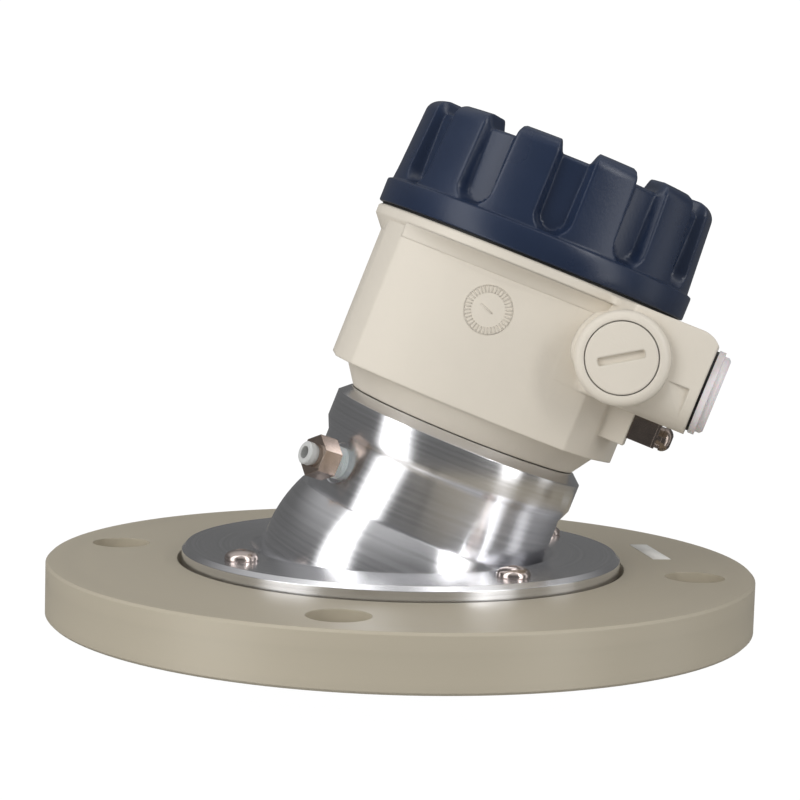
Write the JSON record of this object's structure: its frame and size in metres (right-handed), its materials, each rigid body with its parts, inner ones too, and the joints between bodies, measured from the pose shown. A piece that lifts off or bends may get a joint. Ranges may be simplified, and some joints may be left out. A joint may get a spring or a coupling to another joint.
{
  "type": "radar level sensor",
  "caption": "Radar level sensor with a screw-lid cast housing on a ball-ended barrel that a turned disc clamps in a plastic aiming flange.",
  "frame": {"origin": "middle of the bolt circle on the flange's underside", "axes": "+Z is the flange's axis, pointing up through the sensor; at rest the head leans towards +X"},
  "size_m": [0.2286, 0.2286, 0.1894],
  "materials": {
    "flange_plastic": "pebble grey polypropylene, turned, slightly shiny",
    "turned_aluminium": "turned, with fine ring marks",
    "screw_steel": "bright stainless",
    "white_ptfe": "milky, smooth",
    "black_rubber": "smooth",
    "module_case": "satin",
    "dark_plastic": "fine grain",
    "nickel_brass": "nickel plated, worn warm",
    "thread_tape": "thin white wrap",
    "collet_plastic": "light grey",
    "housing_paint": "ivory powder coat, fine orange peel",
    "cap_plastic": "white, softly shiny",
    "dark_nickel": "dark nickel plate",
    "board_green": "solder mask",
    "terminal_plastic": "moulded",
    "display_glass": "clear",
    "lid_paint": "navy powder coat, semi gloss"
  },
  "bodies": {
    "flange": {"process_flange": "flange_plastic", "clamp_disc": "turned_aluminium", "clamp_screws": "screw_steel"},
    "swivel": {"seat_ring": "white_ptfe", "ball_seal": "black_rubber"},
    "head": {"ball_barrel": "turned_aluminium", "snap_ring": "screw_steel", "purge_ring": "white_ptfe", "antenna_lens": "white_ptfe", "lens_seal": "black_rubber", "horn_antenna": "turned_aluminium", "radar_module": "module_case", "signal_header": "dark_plastic", "purge_body": "nickel_brass", "purge_tape": "thread_tape"},
    "collet": {"purge_collet": "collet_plastic"},
    "housing": {"housing": "housing_paint", "neck_seal": "black_rubber", "front_plug": "housing_paint", "entry_seal": "black_rubber", "entry_cap": "cap_plastic", "earth_saddle": "dark_nickel", "earth_plate": "dark_nickel", "earth_washer": "dark_nickel", "earth_screw": "dark_nickel", "lid_lock_screw": "screw_steel", "main_board": "board_green", "board_posts": "screw_steel", "board_screws": "screw_steel", "terminal_block": "terminal_plastic", "terminal_screws": "screw_steel", "display_module": "dark_plastic", "display_glass": "display_glass"},
    "lid_lift": {"lid_seal": "black_rubber"},
    "lid": {"lid": "lid_paint"}
  },
  "joints": [
    {"name": "flange_swivel", "type": "hinge", "parent": "flange", "child": "swivel", "pos_m": [0, 0, 0.01], "axis": [0, 0, 1], "continuous": true},
    {"name": "head_tilt", "type": "hinge", "parent": "swivel", "child": "head", "pos_m": [0, 0, 0.01], "axis": [0, 1, 0], "range_deg": [-30.2, 0]},
    {"name": "housing_spin", "type": "hinge", "parent": "head", "child": "housing", "pos_m": [0.01623, 0, 0.05411], "axis": [0.3453, 0, 0.9385], "range_deg": [-170, 170]},
    {"name": "lid_rise", "type": "slide", "parent": "housing", "child": "lid_lift", "axis": [0.3453, 0, 0.9385], "range_m": [0, 0.00602]},
    {"name": "lid_turn", "type": "hinge", "parent": "lid_lift", "child": "lid", "pos_m": [0.03902, 0, 0.11605], "axis": [0.3453, 0, 0.9385], "range_deg": [0, 1080]},
    {"name": "collet_press", "type": "slide", "parent": "head", "child": "collet", "axis": [-0.8128, -0.5, 0.299], "range_m": [-0.0007, 0], "stiffness_N_per_m": 800, "springref_m": 0.0006}
  ],
  "couplings": [
    {"joint": "lid_rise", "follows": "lid_turn", "m_per_rad": 0.00031831}
  ]
}
